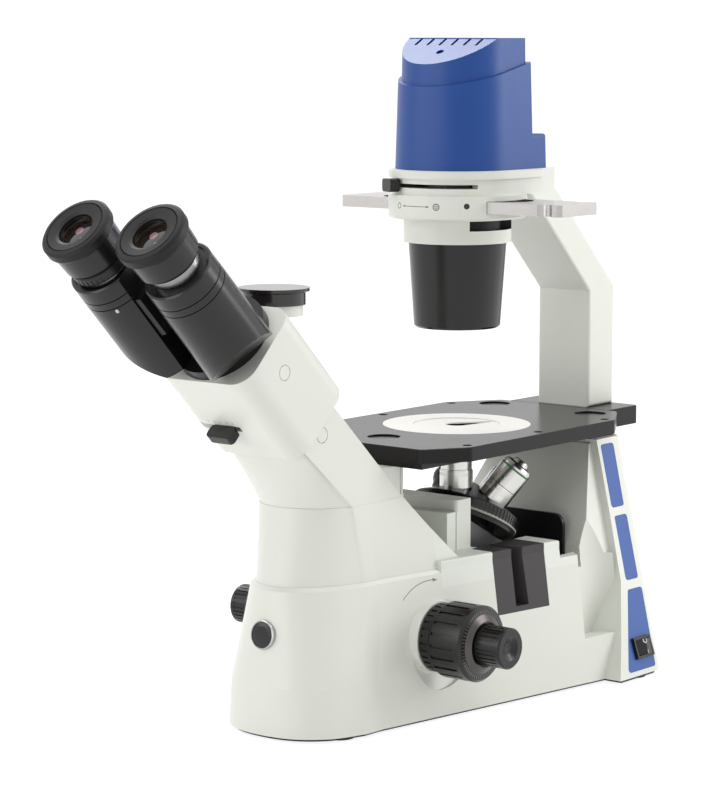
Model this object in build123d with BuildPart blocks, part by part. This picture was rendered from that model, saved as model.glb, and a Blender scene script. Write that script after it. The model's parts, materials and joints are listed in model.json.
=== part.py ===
"""Inverted microscope with a trinocular head, a tilted nosepiece and a lamp arm.

Millimetres. +X is the user's right, +Y points away from the user, +Z is up.
The origin is on the bench, straight below the optical axis of the stage.
"""
from build123d import *
from math import copysign, cos, hypot, log, pi, radians, sin
import os

os.makedirs("parts", exist_ok=True)

# Fits and clearances
RUNNING_FIT = 0.05
BODY_GAP = 0.3
SEAT_GAP = 0.1
PRESS_GAP = 0.1
CUT = 1.0
FAR = 400.0

# Levels above the bench
STAGE_TOP = 196.0
FOOT_HEIGHT = 2.0
PLATE_HEIGHT = 2.0
SKIRT_TOP = 38.0
PANEL_SEAM = 93.0
BASE_SEAM = 106.0
DECK_TOP = 112.0
DECK_STEP = 99.0
TUBE_SEAM = 160.0
STAND_TOP = 175.0
CAVITY_FLOOR = 12.0

# Base outline
NOSE_FOOT = -223.0
NOSE_SEAM = -213.0
COLUMN_NOSE = -209.5
COLUMN_HALF = 42.5
TUBE_INSET = 0.5
LEDGE_ROUND = 2.5
FOOT_FULLNESS = 0.745
NOSE_TUBE = -202.0
SHOULDER_FOOT = -158.0
SHOULDER_SEAM = -145.0
SHOULDER_TUBE = -160.0
FOOT_HALF = 57.0
SKIRT_HALF = 53.0
SEAM_HALF = 45.5
TUBE_HALF = 40.0
SIDE_FLARE = 0.145
BASE_BACK = 100.0
COLUMN_BACK_SUM = 46.0
COLUMN_REAR = -88.0

# Rear stand
STAND_TOP_HALF = 46.5
STAND_FOOT_HALF = 105.0
STAND_BACK_NOSE_TOP = 151.0
STAND_BACK_NOSE_FOOT = 126.0
STAND_FRONT_TOP = 115.0
STAND_SIDE_BACK_TOP = 142.0
STAND_SIDE_BACK_FOOT = 117.0
SCOOP_RADIUS = 30.0
SCOOP_X = 97.0
SCOOP_Y = 76.0
CORE_LEVELS = (80.0, 100.0, 172.0)
CORE_FRONTS = (74.0, 74.0, 112.0)
CORE_INSET = 6.0
POCKET_HALF = 66.0
POCKET_FRONT = 36.0
POCKET_FLOOR = 85.0
INLAY_THICK = 1.2
INLAY_CORNER = 2.5
SWITCH_LENGTH = 22.0
SWITCH_WIDTH = 16.0
SWITCH_Y = 104.0
SWITCH_Z = 23.0
SWITCH_THROW = 7.0
DIAL_RADIUS = 9.0
DIAL_HEIGHT = 8.0
DIAL_SPINDLE = 3.0
INLET_WIDTH = 28.0
INLET_HEIGHT = 22.0
INLET_Z = 30.0

# Trough and focus block
TROUGH_HALF = 42.0
TROUGH_FRONT = -30.0
TROUGH_BACK = 64.0
TROUGH_FLOOR = 62.0
TOWER_HALF = 36.0
GUARD_Y = 70.0
GUARD_HALF = 47.5
GUARD_TOP = 123.5
COVER_FRONT = -37.0
COVER_BACK = 16.0
COVER_BOTTOM = 66.0

# Focus knobs
FOCUS_Y = -100.0
FOCUS_Z = 60.5
FINE_SHAFT_RADIUS = 2.5
SLEEVE_RADIUS = 4.4
PINION_TEETH = 16
GEAR_MODULE = 0.75
PINION_X = 23.0
PINION_WIDTH = 9.0
BOSS_RADIUS = 25.2
RECESS_RADIUS = 27.0
RECESS_RIM = 38.0
RECESS_FLOOR = 56.5
RECESS_FACE = 62.0
BOSS_FACE = 61.5
NECK_RADIUS = 14.0
NECK_FACE = 71.5
TENSION_RADIUS = 24.6
COARSE_RADIUS = 27.0
COARSE_FACE = 100.0
COARSE_GRIPS = 20
FINE_RADIUS = 14.5
FINE_FACE = 124.0
FINE_GRIPS = 28

# Nosepiece
TURRET_TILT = 28.0
HOLE_CIRCLE = 20.0
SHOULDER_DROP = 47.0
KNURL_RADIUS = 40.5
KNURL_COUNT = 72
AXLE_RADIUS = 6.0
MOUNT_THREAD = 9.0
LIGHT_BORE = 8.0
OBJECTIVE_RADIUS = 12.3

# Observation tube, head and eyepieces
TUBE_FOOT_Y = -162.7
HEAD_END = 70.4
HEAD_FRONT = 150.4
HEAD_HALF = 41.0
HINGE_OFFSET = 18.5
EYE_HALF_SPACING = 32.7
BASE_DISC_RADIUS = 33.5
HOUSING_BOTTOM = 158.4
HOUSING_TOP = 246.4
HOUSING_RADIUS = 25.5
INNER_FLAT = 21.5
EYETUBE_RADIUS = 18.0
EYEPIECE_SLEEVE = 15.0
EYEPIECE_BODY = 22.0
EYECUP_RADIUS = 25.0
EYECUP_TOP = 283.2
PORT_Y = -205.5
PORT_RADIUS = 20.0
CAP_TOP = 312.0
CAP_RADIUS = 24.6
CAP_DEPTH = 11.5

# Stage
STAGE_HALF = 80.0
STAGE_FRONT = -120.0
STAGE_BACK = 130.0
STAGE_THICK = 10.2
STAGE_PAD = 4.1
FOOT_UNDER = 182.0
THREAD_RADIUS = 3.4
INSERT_RADIUS = 55.0
INSERT_THICK = 3.0
INNER_RING_RADIUS = 32.0
PLUG_RADIUS = 12.0
SCREW_X = STAGE_HALF - 8.0
SCREW_ROWS = (-82.0, 3.0, 88.0)

# Lamp arm and condenser (heights above the stage top)
PILLAR_HALF = 24.0
PILLAR_FRONT = 136.0
PILLAR_BACK = 170.0
ARM_FRONT_SUM = 226.0
ARM_BACK_SUM = 262.6
BLOCK_BOTTOM = 170.5
BLOCK_TOP = 188.5
BLOCK_RADIUS = 48.0
BLOCK_BACK = 58.0
RING_BOTTOM = 153.0
RING_RADIUS = 50.7
COLLAR_BOTTOM = 135.0
COLLAR_RADIUS = 39.5
CONE_BOTTOM = 72.4
CONE_TOP_RADIUS = 35.9
CONE_FOOT_RADIUS = 31.7
LAMP_TOP = 283.0
LAMP_RADIUS = 45.8
SLIDER_HALF_WIDTH = 24.0
SLIDER_THICK = 8.4
SLIDER_BOTTOM = 158.2
SLIDER_LEFT = -92.0
SLIDER_RIGHT = 108.5
SLIDER_PITCH = 45.0
LEVER_ANGLE = -118.0
LEVER_SWEEP = 78.0
IRIS_SLOT = 3.0


def u_outline(plane, half_front, half_back, shoulder, nose, back, fullness=0.7071):
    """A flat outline with a rounded nose, straight sides and a straight back."""
    reach = nose - shoulder
    way = 1 if reach > 0 else -1
    with BuildSketch(plane) as outline:
        with BuildLine():
            share = 2 * log(fullness) / log(0.5)
            angles = [pi - pi * step / 12 for step in range(1, 12)]
            rounds = [(copysign(abs(cos(a)) ** share, cos(a)), sin(a) ** share) for a in angles]
            rim = [(-half_front, shoulder)]
            rim += [(half_front * wide, shoulder + reach * high) for wide, high in rounds]
            rim += [(half_front, shoulder)]
            Spline(*rim, tangents=((0, way), (0, -way)))
            Polyline((half_front, shoulder), (half_back, back), (-half_back, back), (-half_front, shoulder))
        make_face()
    return outline.sketch


def flat_outline(plane, *points):
    """A closed outline with straight edges."""
    with BuildSketch(plane) as outline:
        with BuildLine():
            Polyline(*points, close=True)
        make_face()
    return outline.sketch


def side_slab(half_width, *points, mode=Mode.ADD):
    """A slab across X, from its outline in Y and Z."""
    extrude(flat_outline(Plane.YZ, *points), amount=half_width, both=True, mode=mode)


def turn(plane, *points, mode=Mode.ADD):
    """A turned piece on the plane's normal, from radii and heights."""
    section = Plane(plane.origin, x_dir=plane.x_dir, z_dir=-plane.y_dir)
    revolve(flat_outline(section, *points), Axis(plane.origin, plane.z_dir), mode=mode)


def disc(plane, radius, height, mode=Mode.ADD, inner=0.0):
    """A disc or a ring that stands on a plane."""
    with BuildSketch(plane) as face:
        Circle(radius)
        if inner:
            Circle(inner, mode=Mode.SUBTRACT)
    extrude(face.sketch, amount=height, mode=mode)


def block(x_range, y_range, z_range, mode=Mode.ADD):
    """A rectangular block between two values on each axis."""
    size = [high - low for low, high in (x_range, y_range, z_range)]
    centre = [(high + low) / 2 for low, high in (x_range, y_range, z_range)]
    with Locations(tuple(centre)):
        Box(*size, mode=mode)


def level(height, x=0.0, y=0.0):
    return Plane.XY.move(Location((x, y, height)))


def knob_plane(x, way=1):
    """A plane across the focus shaft that faces the knob's outer end."""
    return Plane((x, FOCUS_Y, FOCUS_Z), x_dir=(0, 1, 0), z_dir=(way, 0, 0))


def head_plane(distance, rise=0.0, x=0.0):
    """A plane across the inclined tube, a distance along it from the tube's foot."""
    slope = cos(radians(45))
    y = TUBE_FOOT_Y + (rise - distance) * slope
    z = TUBE_SEAM + (rise + distance) * slope
    return Plane((x, y, z), x_dir=(1, 0, 0), z_dir=(0, -1, 1))


def turret_plane(height, across=0.0, along=0.0):
    """A plane across the nosepiece axis, a height above its circle of shoulders."""
    tilt = radians(TURRET_TILT)
    centre_y = HOLE_CIRCLE * cos(tilt)
    centre_z = STAGE_TOP - SHOULDER_DROP - HOLE_CIRCLE * sin(tilt)
    y = centre_y + height * sin(tilt) + along * cos(tilt)
    z = centre_z + height * cos(tilt) - along * sin(tilt)
    return Plane((across, y, z), x_dir=(1, 0, 0), z_dir=(0, sin(tilt), cos(tilt)))


def objective_plane(station, height=0.0):
    """A plane on the seat of one objective, with its normal along the objective."""
    tilt = radians(TURRET_TILT)
    around = radians(90 * station)
    seat = turret_plane(0, HOLE_CIRCLE * sin(around), -HOLE_CIRCLE * cos(around))
    lean = (sin(tilt) * sin(around), -sin(tilt) * cos(around), cos(tilt))
    normal = Vector(*seat.x_dir) * lean[0] + Vector(*seat.y_dir) * lean[1] + Vector(*seat.z_dir) * lean[2]
    tangent = Vector(*seat.x_dir) * cos(around) + Vector(*seat.y_dir) * sin(around)
    return Plane(seat.origin + normal * height, x_dir=tangent, z_dir=normal)


def side_plane(side, y, height, proud=0.0):
    """A plane on a leaning side of the rear stand; its x runs along Y and its y up the slope."""
    lean = (STAND_FOOT_HALF - STAND_TOP_HALF) / STAND_TOP
    x = STAND_FOOT_HALF - lean * height
    normal = Vector(side, 0, side * side * lean).normalized()
    return Plane(Vector(side * x, y, height) + normal * proud, x_dir=(0, side, 0), z_dir=normal)


def finish(piece, name):
    piece.part.label = name
    export_step(piece.part, f"parts/{name}.step")


# Outer forms shared by the base pieces
def flared(half, shoulder, back):
    return half + SIDE_FLARE * (back - shoulder)


with BuildPart() as base_form:
    loft(
        [
            u_outline(level(FOOT_HEIGHT + PLATE_HEIGHT), FOOT_HALF,
                      flared(FOOT_HALF, SHOULDER_FOOT, BASE_BACK),
                      SHOULDER_FOOT, NOSE_FOOT, BASE_BACK, FOOT_FULLNESS),
            u_outline(level(SKIRT_TOP), SKIRT_HALF, flared(SKIRT_HALF, SHOULDER_FOOT, BASE_BACK),
                      SHOULDER_FOOT, NOSE_FOOT, BASE_BACK, FOOT_FULLNESS),
            u_outline(level(BASE_SEAM), SEAM_HALF, flared(SEAM_HALF, SHOULDER_SEAM, BASE_BACK),
                      SHOULDER_SEAM, NOSE_SEAM, BASE_BACK),
        ],
        ruled=True,
    )
    extrude(
        u_outline(level(BASE_SEAM), SEAM_HALF, flared(SEAM_HALF, SHOULDER_SEAM, BASE_BACK),
                  SHOULDER_SEAM, NOSE_SEAM, BASE_BACK),
        amount=DECK_TOP - BASE_SEAM,
    )

BADGE_Y = -215.9
STAND_LEVELS = (FOOT_HEIGHT + PLATE_HEIGHT, 32.0, 72.0, 124.0, STAND_TOP)
STAND_FRONTS = (67.0, 81.0, 99.5, 108.0, STAND_FRONT_TOP)


def back_outline(height, half, front, side_back, nose):
    """The stand's plan, with bevelled corners at the back."""
    right = [(half, front), (half, side_back), (half - 2.5, side_back + 5.5), (half - 9, nose)]
    return flat_outline(level(height), *right, *[(-x, y) for x, y in reversed(right)])


def stand_outline(height, front):
    share = height / STAND_TOP
    half = STAND_FOOT_HALF + (STAND_TOP_HALF - STAND_FOOT_HALF) * share
    side_back = STAND_SIDE_BACK_FOOT + (STAND_SIDE_BACK_TOP - STAND_SIDE_BACK_FOOT) * share
    nose = STAND_BACK_NOSE_FOOT + (STAND_BACK_NOSE_TOP - STAND_BACK_NOSE_FOOT) * share
    return back_outline(height, half, front, side_back, nose)


with BuildPart() as stand_form:
    loft([stand_outline(height, front) for height, front in zip(STAND_LEVELS, STAND_FRONTS)], ruled=True)

with BuildPart() as stand_core:
    sections = []
    for height, front in zip(CORE_LEVELS, CORE_FRONTS):
        half = STAND_FOOT_HALF + (STAND_TOP_HALF - STAND_FOOT_HALF) * height / STAND_TOP - CORE_INSET
        sections.append(flat_outline(level(height), (-half, front), (half, front), (half, 125), (-half, 125)))
    loft(sections, ruled=True)

with BuildPart() as scoop_form:
    for side in (-1, 1):
        lean_plane = Plane((side * SCOOP_X, SCOOP_Y, SKIRT_TOP), x_dir=(0, 1, 0), z_dir=(-side * 0.11, 0, 1))
        disc(lean_plane, SCOOP_RADIUS, STAND_TOP)

# Blue inlays on both leaning sides of the stand
INLAYS = (
    ((118.3, 171.0), (135.6, 171.0), (128.5, 124.5), (111.9, 124.5)),
    ((112.4, 118.5), (129.0, 118.5), (122.5, 71.5), (106.0, 71.5)),
    ((105.1, 65.0), (124.0, 65.0), (115.7, 7.5), (79.0, 7.5)),
)


def inlay_face(side, corners, inset=0.0):
    """One inlay outline on the side of the stand, with round corners."""
    start = side_plane(side, 0, 0)
    points = [start.to_local_coords(side_plane(side, y, z).origin) for y, z in corners]
    with BuildSketch(start) as face:
        with BuildLine():
            Polyline(*[(point.X, point.Y) for point in points], close=True)
        make_face()
        fillet(face.vertices(), INLAY_CORNER)
        if inset:
            offset(amount=-inset, kind=Kind.INTERSECTION)
    return face.sketch


with BuildPart() as cover_region:
    for side in (-1, 1):
        block(sorted((side * TROUGH_HALF, side * 110)), (COVER_FRONT, COVER_BACK), (DECK_STEP, DECK_TOP))
        block(sorted((side * (TROUGH_HALF + 3), side * 110)), (COVER_FRONT, COVER_BACK),
              (COVER_BOTTOM, DECK_STEP))

BADGE = Plane((0, BADGE_Y, 73), x_dir=(1, 0, 0), z_dir=(0, -1, 0.147))
with BuildPart() as base_casting:
    add(base_form.part)
    block((-FAR, FAR), (-FAR, COLUMN_REAR), (BASE_SEAM, FAR), mode=Mode.SUBTRACT)
    block((-FAR, FAR), (-FAR, COLUMN_REAR), (BASE_SEAM - LEDGE_ROUND, FAR), mode=Mode.SUBTRACT)
    loft(
        [
            u_outline(level(BASE_SEAM - LEDGE_ROUND), SEAM_HALF,
                      flared(SEAM_HALF, SHOULDER_SEAM, COLUMN_REAR),
                      SHOULDER_SEAM, NOSE_SEAM, COLUMN_REAR),
            u_outline(level(BASE_SEAM), COLUMN_HALF + CUT,
                      flared(COLUMN_HALF + CUT, SHOULDER_SEAM, COLUMN_REAR),
                      SHOULDER_SEAM, COLUMN_NOSE - CUT, COLUMN_REAR),
        ],
        ruled=True,
    )
    block((-FAR, FAR), (COLUMN_REAR, FAR), (PANEL_SEAM, FAR), mode=Mode.SUBTRACT)
    block((-POCKET_HALF, POCKET_HALF), (POCKET_FRONT, BASE_BACK), (POCKET_FLOOR, FAR), mode=Mode.SUBTRACT)
    add(stand_core.part)
    add(scoop_form.part, mode=Mode.SUBTRACT)
    add(stand_form.part)
    block((-38, 38), (-130, TROUGH_BACK), (CAVITY_FLOOR, FAR), mode=Mode.SUBTRACT)
    block((-TROUGH_HALF, TROUGH_HALF), (TROUGH_FRONT, TROUGH_BACK), (TROUGH_FLOOR, FAR), mode=Mode.SUBTRACT)
    add(cover_region.part, mode=Mode.SUBTRACT)
    for side in (-1, 1):
        turn(knob_plane(0, side), (0, RECESS_FLOOR), (RECESS_RADIUS, RECESS_FLOOR), (RECESS_RIM, RECESS_FACE),
             (RECESS_RIM, COARSE_FACE), (0, COARSE_FACE), mode=Mode.SUBTRACT)
        turn(knob_plane(0, side), (0, 38), (BOSS_RADIUS, 38), (BOSS_RADIUS, BOSS_FACE),
             (NECK_RADIUS, BOSS_FACE), (NECK_RADIUS, NECK_FACE), (0, NECK_FACE))
        for corners in INLAYS:
            extrude(inlay_face(side, corners), amount=-INLAY_THICK, mode=Mode.SUBTRACT)
    disc(knob_plane(-80), SLEEVE_RADIUS + RUNNING_FIT, 160, mode=Mode.SUBTRACT)
    with BuildSketch(side_plane(1, SWITCH_Y, SWITCH_Z)):
        Rectangle(SWITCH_LENGTH + 2 * PRESS_GAP, SWITCH_WIDTH + 2 * PRESS_GAP)
    extrude(amount=-14, mode=Mode.SUBTRACT)
    disc(side_plane(-1, SWITCH_Y, SWITCH_Z), DIAL_SPINDLE + RUNNING_FIT, -14, mode=Mode.SUBTRACT)
    block((-INLET_WIDTH / 2, INLET_WIDTH / 2), (STAND_BACK_NOSE_FOOT - 22, FAR),
          (INLET_Z - INLET_HEIGHT / 2, INLET_Z + INLET_HEIGHT / 2), mode=Mode.SUBTRACT)
    disc(BADGE, 8.0 + PRESS_GAP, 30, mode=Mode.SUBTRACT)
finish(base_casting, "base_casting")

with BuildPart() as base_plate:
    plate_inset = 3.0
    extrude(
        u_outline(level(FOOT_HEIGHT), FOOT_HALF - plate_inset,
                  flared(FOOT_HALF, SHOULDER_FOOT, BASE_BACK) - plate_inset,
                  SHOULDER_FOOT, NOSE_FOOT + plate_inset, BASE_BACK, FOOT_FULLNESS),
        amount=PLATE_HEIGHT,
    )
    extrude(
        back_outline(FOOT_HEIGHT, STAND_FOOT_HALF - plate_inset, STAND_FRONTS[0] + plate_inset,
                     STAND_SIDE_BACK_FOOT - plate_inset, STAND_BACK_NOSE_FOOT - plate_inset),
        amount=PLATE_HEIGHT,
    )
finish(base_plate, "base_plate")

with BuildPart() as rubber_feet:
    for x, y in ((-36, -180), (36, -180), (0, 0), (-88, 104), (88, 104)):
        disc(level(0, x, y), 11, FOOT_HEIGHT)
finish(rubber_feet, "rubber_feet")

with BuildPart() as front_badge:
    disc(BADGE, 8.0, 3.4)
    disc(Plane(BADGE.origin + BADGE.z_dir * 3.4, x_dir=BADGE.x_dir, z_dir=BADGE.z_dir), 7.0, -0.6,
         mode=Mode.SUBTRACT)
finish(front_badge, "front_badge")

# Front column, tube and head
WEDGE_BACK = -50.0
with BuildPart() as column_form:
    loft(
        [
            u_outline(level(BASE_SEAM), COLUMN_HALF, flared(COLUMN_HALF, SHOULDER_SEAM, WEDGE_BACK),
                      SHOULDER_SEAM, COLUMN_NOSE, WEDGE_BACK),
            u_outline(level(TUBE_SEAM), TUBE_HALF, TUBE_HALF, SHOULDER_TUBE, NOSE_TUBE, WEDGE_BACK),
        ],
        ruled=True,
    )
    side_slab(FAR, (COLUMN_BACK_SUM - BASE_SEAM + CUT, BASE_SEAM - CUT), (COLUMN_BACK_SUM - FAR, FAR),
              (FAR, FAR),
              (FAR, BASE_SEAM - CUT), mode=Mode.SUBTRACT)

with BuildPart() as front_column:
    add(column_form.part)
    block((-FAR, FAR), (COLUMN_REAR, FAR), (0, FAR), mode=Mode.SUBTRACT)
    disc(head_plane(-120), 11.0, 220, mode=Mode.SUBTRACT)
    disc(head_plane(-120), 13.0 + PRESS_GAP, 70, mode=Mode.SUBTRACT)
finish(front_column, "front_column")

with BuildPart() as observation_tube:
    loft(
        [
            u_outline(level(TUBE_SEAM), TUBE_HALF - TUBE_INSET, TUBE_HALF - TUBE_INSET, SHOULDER_TUBE,
                      NOSE_TUBE + TUBE_INSET, COLUMN_BACK_SUM - TUBE_SEAM),
            u_outline(head_plane(HEAD_END), 37, 37, 4, -12, 33.5, fullness=0.84),
        ],
        ruled=True,
    )
    disc(head_plane(-20), 11.0, 120, mode=Mode.SUBTRACT)
    for side in (-1, 1):
        with BuildSketch(Plane((side * 38, -199, STAGE_TOP + 17), x_dir=(0, 1, 0), z_dir=(side, 0, 0))):
            Circle(5.6)
            Circle(5.0, mode=Mode.SUBTRACT)
        extrude(amount=-1.6, mode=Mode.SUBTRACT)
finish(observation_tube, "observation_tube")

HEAD_PROFILE = (
    (-224.2, STAGE_TOP + 2.1),
    (-188.8, STAGE_TOP + 37.5),
    (-175.5, STAGE_TOP + 46),
    (-190, STAGE_TOP + 90),
    (-190, STAGE_TOP + 98),
    (-229, STAGE_TOP + 99),
    (-233.3, STAGE_TOP + 106.1),
    (-280.7, STAGE_TOP + 58.7),
)
with BuildPart() as head_casting:
    side_slab(HEAD_HALF, *HEAD_PROFILE)
    with BuildSketch(head_plane(HEAD_END - 40, 17)):
        RectangleRounded(2 * HEAD_HALF, 67, 15)
    extrude(amount=200, mode=Mode.INTERSECT)
    with BuildSketch(level(STAGE_TOP)):
        with Locations((0, -175.4 - 70)):
            RectangleRounded(2 * HEAD_HALF, 140, 16)
    extrude(amount=200, mode=Mode.INTERSECT)
    disc(level(STAGE_TOP + 97, 0, PORT_Y), PORT_RADIUS, CAP_TOP - 3 - BODY_GAP - STAGE_TOP - 97)
    disc(level(STAGE_TOP + 60, 0, PORT_Y), 14, 60, mode=Mode.SUBTRACT)
    disc(head_plane(HEAD_END - 5), 11.0, 100, mode=Mode.SUBTRACT)
    disc(head_plane(HEAD_FRONT - 20, HINGE_OFFSET), 14.0, 40, mode=Mode.SUBTRACT)
    disc(head_plane(HEAD_FRONT - 5, HINGE_OFFSET), BASE_DISC_RADIUS + PRESS_GAP, 20, mode=Mode.SUBTRACT)
    for side in (-1, 1):
        with BuildSketch(Plane((side * HEAD_HALF, -242, STAGE_TOP + 64), x_dir=(0, 1, 0),
                               z_dir=(side, 0, 0))):
            Circle(5.6)
            Circle(5.0, mode=Mode.SUBTRACT)
        extrude(amount=-0.8, mode=Mode.SUBTRACT)
    with Locations(head_plane(100.0, -16.5, -15)):
        Box(40, 12, 4.6, mode=Mode.SUBTRACT)
finish(head_casting, "head_casting")

with BuildPart() as light_path_knob:
    knob_seat = head_plane(100.0, -16.5, -8)
    with Locations(knob_seat):
        Box(8, 10, 4.0)
    with BuildSketch(head_plane(96.75, -16.5 - 5.8, -8)):
        RectangleRounded(22, 10.5, 3.2)
    extrude(amount=6.5)
finish(light_path_knob, "light_path_knob")

with BuildPart() as port_cap:
    turn(level(CAP_TOP, 0, PORT_Y), (0, 0), (CAP_RADIUS, 0), (CAP_RADIUS, -2.2), (CAP_RADIUS - 2.8, -3.2),
         (CAP_RADIUS - 2.8, -CAP_DEPTH), (PORT_RADIUS + RUNNING_FIT, -CAP_DEPTH),
         (PORT_RADIUS + RUNNING_FIT, -3),
         (0, -3))
finish(port_cap, "port_cap")

PIN_RADIUS = 5.0
ARM_LEVELS = {1: (HOUSING_BOTTOM, 189.7), -1: (190.0, 225.0)}
with BuildPart() as binocular_base:
    disc(head_plane(HEAD_FRONT - 5, HINGE_OFFSET), BASE_DISC_RADIUS,
         HOUSING_BOTTOM - HEAD_FRONT + 5 - BODY_GAP)
    disc(head_plane(HOUSING_BOTTOM - BODY_GAP, HINGE_OFFSET), PIN_RADIUS,
         ARM_LEVELS[-1][1] - HOUSING_BOTTOM + 1)
    disc(head_plane(ARM_LEVELS[-1][1] + BODY_GAP, HINGE_OFFSET), 8.0, 2.4)
    disc(head_plane(HEAD_FRONT - 6, 0), 9.0, 8, mode=Mode.SUBTRACT)
finish(binocular_base, "binocular_base")


def prism_housing(side, name):
    """A housing that swings on the head's pin, with its slanted prism end outwards."""
    x = side * EYE_HALF_SPACING
    arm_low, arm_high = ARM_LEVELS[side]
    with BuildPart() as housing:
        turn(head_plane(0, 0, x), (0, HOUSING_BOTTOM), (HOUSING_RADIUS, HOUSING_BOTTOM), (24.8, 228.0),
             (24.2, 228.0),
             (24.2, 228.8), (24.8, 228.8), (24.7, 234.0), (24.1, 234.0), (24.1, 234.8), (24.7, 234.8),
             (24.5, HOUSING_TOP - 1), (23.4, HOUSING_TOP), (0, HOUSING_TOP))
        inner = sorted((side * (EYE_HALF_SPACING - INNER_FLAT), -side * 60))
        with BuildSketch(head_plane(HOUSING_BOTTOM - CUT)):
            with Locations(((inner[0] + inner[1]) / 2, 0)):
                Rectangle(inner[1] - inner[0], 120)
        extrude(amount=HOUSING_TOP - HOUSING_BOTTOM + 2 * CUT, mode=Mode.SUBTRACT)
        with BuildSketch(head_plane(arm_low, HINGE_OFFSET)):
            with BuildLine():
                Polyline((0, 10.5), (x, 3), (x, -38.5), (side * 8, -28), (side * 3, -10), close=True)
            make_face()
            Circle(10.8)
        extrude(amount=arm_high - arm_low)
        disc(head_plane(arm_low - CUT, HINGE_OFFSET), PIN_RADIUS + RUNNING_FIT, arm_high - arm_low + 2 * CUT,
             mode=Mode.SUBTRACT)
        outward = (side * EYE_HALF_SPACING, -HINGE_OFFSET)
        reach = hypot(*outward)
        away = Vector(outward[0] / reach, outward[1] / reach)
        foot = head_plane(HOUSING_BOTTOM, 0, x)
        direction = foot.x_dir * away.X + foot.y_dir * away.Y
        slant = Plane(foot.origin, x_dir=direction.cross(foot.z_dir), z_dir=direction - foot.z_dir)
        with BuildSketch(slant):
            Rectangle(120, 120)
        extrude(amount=60, mode=Mode.SUBTRACT)
        disc(head_plane(HOUSING_TOP - 30, 0, x), EYETUBE_RADIUS + PRESS_GAP, 40, mode=Mode.SUBTRACT)
        disc(head_plane(HOUSING_TOP - 1.4, 0, x), 21.5, 10, mode=Mode.SUBTRACT)
    finish(housing, name)


prism_housing(1, "right_prism_housing")
prism_housing(-1, "left_prism_housing")

EYETUBE_TOP = {1: 255.2, -1: 247.5}


def eyetube(side, name):
    """The tube that carries an eyepiece; the left one carries the dioptre ring."""
    with BuildPart() as tube:
        turn(head_plane(0, 0, side * EYE_HALF_SPACING), (EYEPIECE_SLEEVE + RUNNING_FIT, HOUSING_TOP - 30),
             (EYETUBE_RADIUS, HOUSING_TOP - 30), (EYETUBE_RADIUS, EYETUBE_TOP[side] - 2),
             (EYETUBE_RADIUS - 0.8, EYETUBE_TOP[side]), (EYEPIECE_SLEEVE + RUNNING_FIT, EYETUBE_TOP[side]))
    finish(tube, name)


eyetube(1, "right_eyetube")
eyetube(-1, "left_eyetube")

DIOPTER_BOTTOM = EYETUBE_TOP[-1] + BODY_GAP
DIOPTER_TOP = 255.0
with BuildPart() as diopter_ring:
    ring_axis = head_plane(0, 0, -EYE_HALF_SPACING)
    turn(ring_axis, (EYEPIECE_SLEEVE + RUNNING_FIT, DIOPTER_BOTTOM), (20.2, DIOPTER_BOTTOM),
         (20.8, DIOPTER_BOTTOM + 1),
         (20.8, DIOPTER_TOP - 1), (20.2, DIOPTER_TOP), (EYEPIECE_SLEEVE + RUNNING_FIT, DIOPTER_TOP))
    with BuildSketch(head_plane(DIOPTER_BOTTOM + 1.5, 0, -EYE_HALF_SPACING)):
        with PolarLocations(20.8, 36):
            Rectangle(0.8, 1.0)
    extrude(amount=DIOPTER_TOP - DIOPTER_BOTTOM - 3, mode=Mode.SUBTRACT)
finish(diopter_ring, "diopter_ring")

EYEPIECE_BOTTOM = {1: 257.0, -1: 256.8}
EYE_OPENING = 12.4


def eyepiece(side, name, cup_name, lens_name):
    """An eyepiece with its rubber eyecup and eye lens."""
    x = side * EYE_HALF_SPACING
    low = EYEPIECE_BOTTOM[side]
    with BuildPart() as body:
        turn(head_plane(0, 0, x), (12.0, HOUSING_TOP - 26), (EYEPIECE_SLEEVE, HOUSING_TOP - 26),
             (EYEPIECE_SLEEVE, low - 1.5), (20.0, low - 1.5), (20.6, low), (EYEPIECE_BODY, low + 1.2),
             (EYEPIECE_BODY + 0.8, EYECUP_TOP - 8.6), (19.5, EYECUP_TOP - 8.6), (19.5, EYECUP_TOP - 3),
             (EYE_OPENING, EYECUP_TOP - 3), (EYE_OPENING, EYECUP_TOP - 5), (14.0, EYECUP_TOP - 7),
             (14.0, EYECUP_TOP - 11), (12.0, EYECUP_TOP - 11))
    finish(body, name)
    with BuildPart() as cup:
        turn(head_plane(0, 0, x), (19.6, EYECUP_TOP - 8.5), (EYECUP_RADIUS - 0.8, EYECUP_TOP - 8.5),
             (EYECUP_RADIUS, EYECUP_TOP - 7), (EYECUP_RADIUS, EYECUP_TOP - 2),
             (EYECUP_RADIUS - 1.6, EYECUP_TOP - 0.4),
             (EYECUP_RADIUS - 4, EYECUP_TOP), (20.4, EYECUP_TOP - 0.8), (19.8, EYECUP_TOP - 0.1),
             (14.5, EYECUP_TOP - 0.8), (EYE_OPENING, EYECUP_TOP - 1.8), (EYE_OPENING, EYECUP_TOP - 2.9),
             (19.6, EYECUP_TOP - 2.9))
    finish(cup, cup_name)
    with BuildPart() as lens:
        turn(head_plane(0, 0, x), (0, EYECUP_TOP - 10.8), (13.9, EYECUP_TOP - 10.8), (13.9, EYECUP_TOP - 8.4),
             (9.0, EYECUP_TOP - 7.4), (0, EYECUP_TOP - 6.8))
    finish(lens, lens_name)


eyepiece(1, "right_eyepiece", "right_eyecup", "right_eye_lens")
eyepiece(-1, "left_eyepiece", "left_eyecup", "left_eye_lens")

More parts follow.
